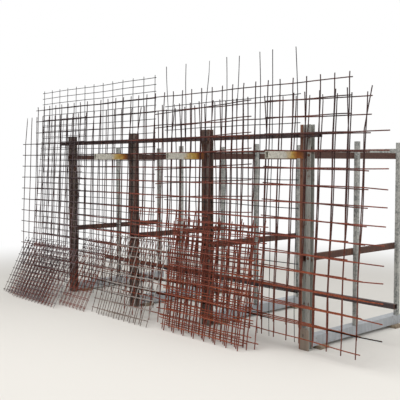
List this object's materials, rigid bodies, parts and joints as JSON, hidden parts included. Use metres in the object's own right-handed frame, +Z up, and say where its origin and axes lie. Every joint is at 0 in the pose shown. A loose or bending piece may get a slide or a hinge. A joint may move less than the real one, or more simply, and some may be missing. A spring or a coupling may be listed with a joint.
{
  "type": "rebar bundle",
  "caption": "Stack of rusty welded rebar mats hung and leant on the front of a steel storage rack with channel posts, arms, beams and tube rails.",
  "frame": {"origin": "middle of the footprint, on the floor", "axes": "+X along the rack to its near end, +Y from the mats into the rack, +Z up"},
  "size_m": [5.845, 2.2438, 2.6989],
  "materials": {
    "dark_fine_mesh": "dark mill scale with a little rust",
    "dark_tall_mesh": "dark rust",
    "brown_rust_mesh": "brown rust",
    "orange_rust_mesh": "fresh orange rust",
    "pale_mesh": "pale dusty drawn wire",
    "grey_mesh": "dull grey wire with brown rust",
    "brown_steel": "old dark brown primer with rust",
    "rusty_beam": "worn ochre paint with orange rust",
    "grey_paint": "light grey paint, dusty",
    "zinc_tube": "dull zinc",
    "old_timber": "weathered timber"
  },
  "bodies": {
    "root": {"back_rail": "zinc_tube", "bent_1_arm": "rusty_beam", "bent_1_back_post": "zinc_tube", "bent_1_back_sleeper": "old_timber", "bent_1_base_runner": "grey_paint", "bent_1_front_post": "brown_steel", "bent_1_front_sleeper": "old_timber", "bent_1_middle_post": "zinc_tube", "bent_1_shelf_beam": "rusty_beam", "bent_2_arm": "rusty_beam", "bent_2_back_post": "zinc_tube", "bent_2_back_sleeper": "old_timber", "bent_2_base_runner": "grey_paint", "bent_2_front_post": "brown_steel", "bent_2_front_sleeper": "old_timber", "bent_2_middle_post": "zinc_tube", "bent_2_shelf_beam": "rusty_beam", "bent_3_arm": "rusty_beam", "bent_3_back_post": "zinc_tube", "bent_3_back_sleeper": "old_timber", "bent_3_base_runner": "grey_paint", "bent_3_front_post": "brown_steel", "bent_3_front_sleeper": "old_timber", "bent_3_middle_post": "zinc_tube", "bent_3_shelf_beam": "rusty_beam", "bent_4_arm": "rusty_beam", "bent_4_back_post": "zinc_tube", "bent_4_back_sleeper": "old_timber", "bent_4_base_runner": "grey_paint", "bent_4_front_post": "brown_steel", "bent_4_front_sleeper": "old_timber", "bent_4_middle_post": "zinc_tube", "bent_4_shelf_beam": "rusty_beam", "brown_grid": "brown_rust_mesh", "fine_mat_far_half": "dark_fine_mesh", "fine_mat_near_half": "dark_fine_mesh", "front_mat_1": "orange_rust_mesh", "front_mat_2": "orange_rust_mesh", "front_mat_3": "orange_rust_mesh", "front_mat_4": "orange_rust_mesh", "front_mat_5": "orange_rust_mesh", "front_mat_6": "orange_rust_mesh", "front_rail": "brown_steel", "grey_mat": "grey_mesh", "left_askew_mat": "brown_rust_mesh", "light_grid": "pale_mesh", "long_mat_far_half": "brown_rust_mesh", "long_mat_near_half": "brown_rust_mesh", "low_rail": "brown_steel", "offcut_1": "grey_mesh", "offcut_2": "grey_mesh", "offcut_3": "grey_mesh", "offcut_4": "grey_mesh", "offcut_5": "grey_mesh", "offcut_6": "grey_mesh", "right_askew_mat": "brown_rust_mesh", "tall_mat": "dark_tall_mesh", "wide_mat_far_half": "brown_rust_mesh", "wide_mat_near_half": "brown_rust_mesh"}
  },
  "joints": []
}
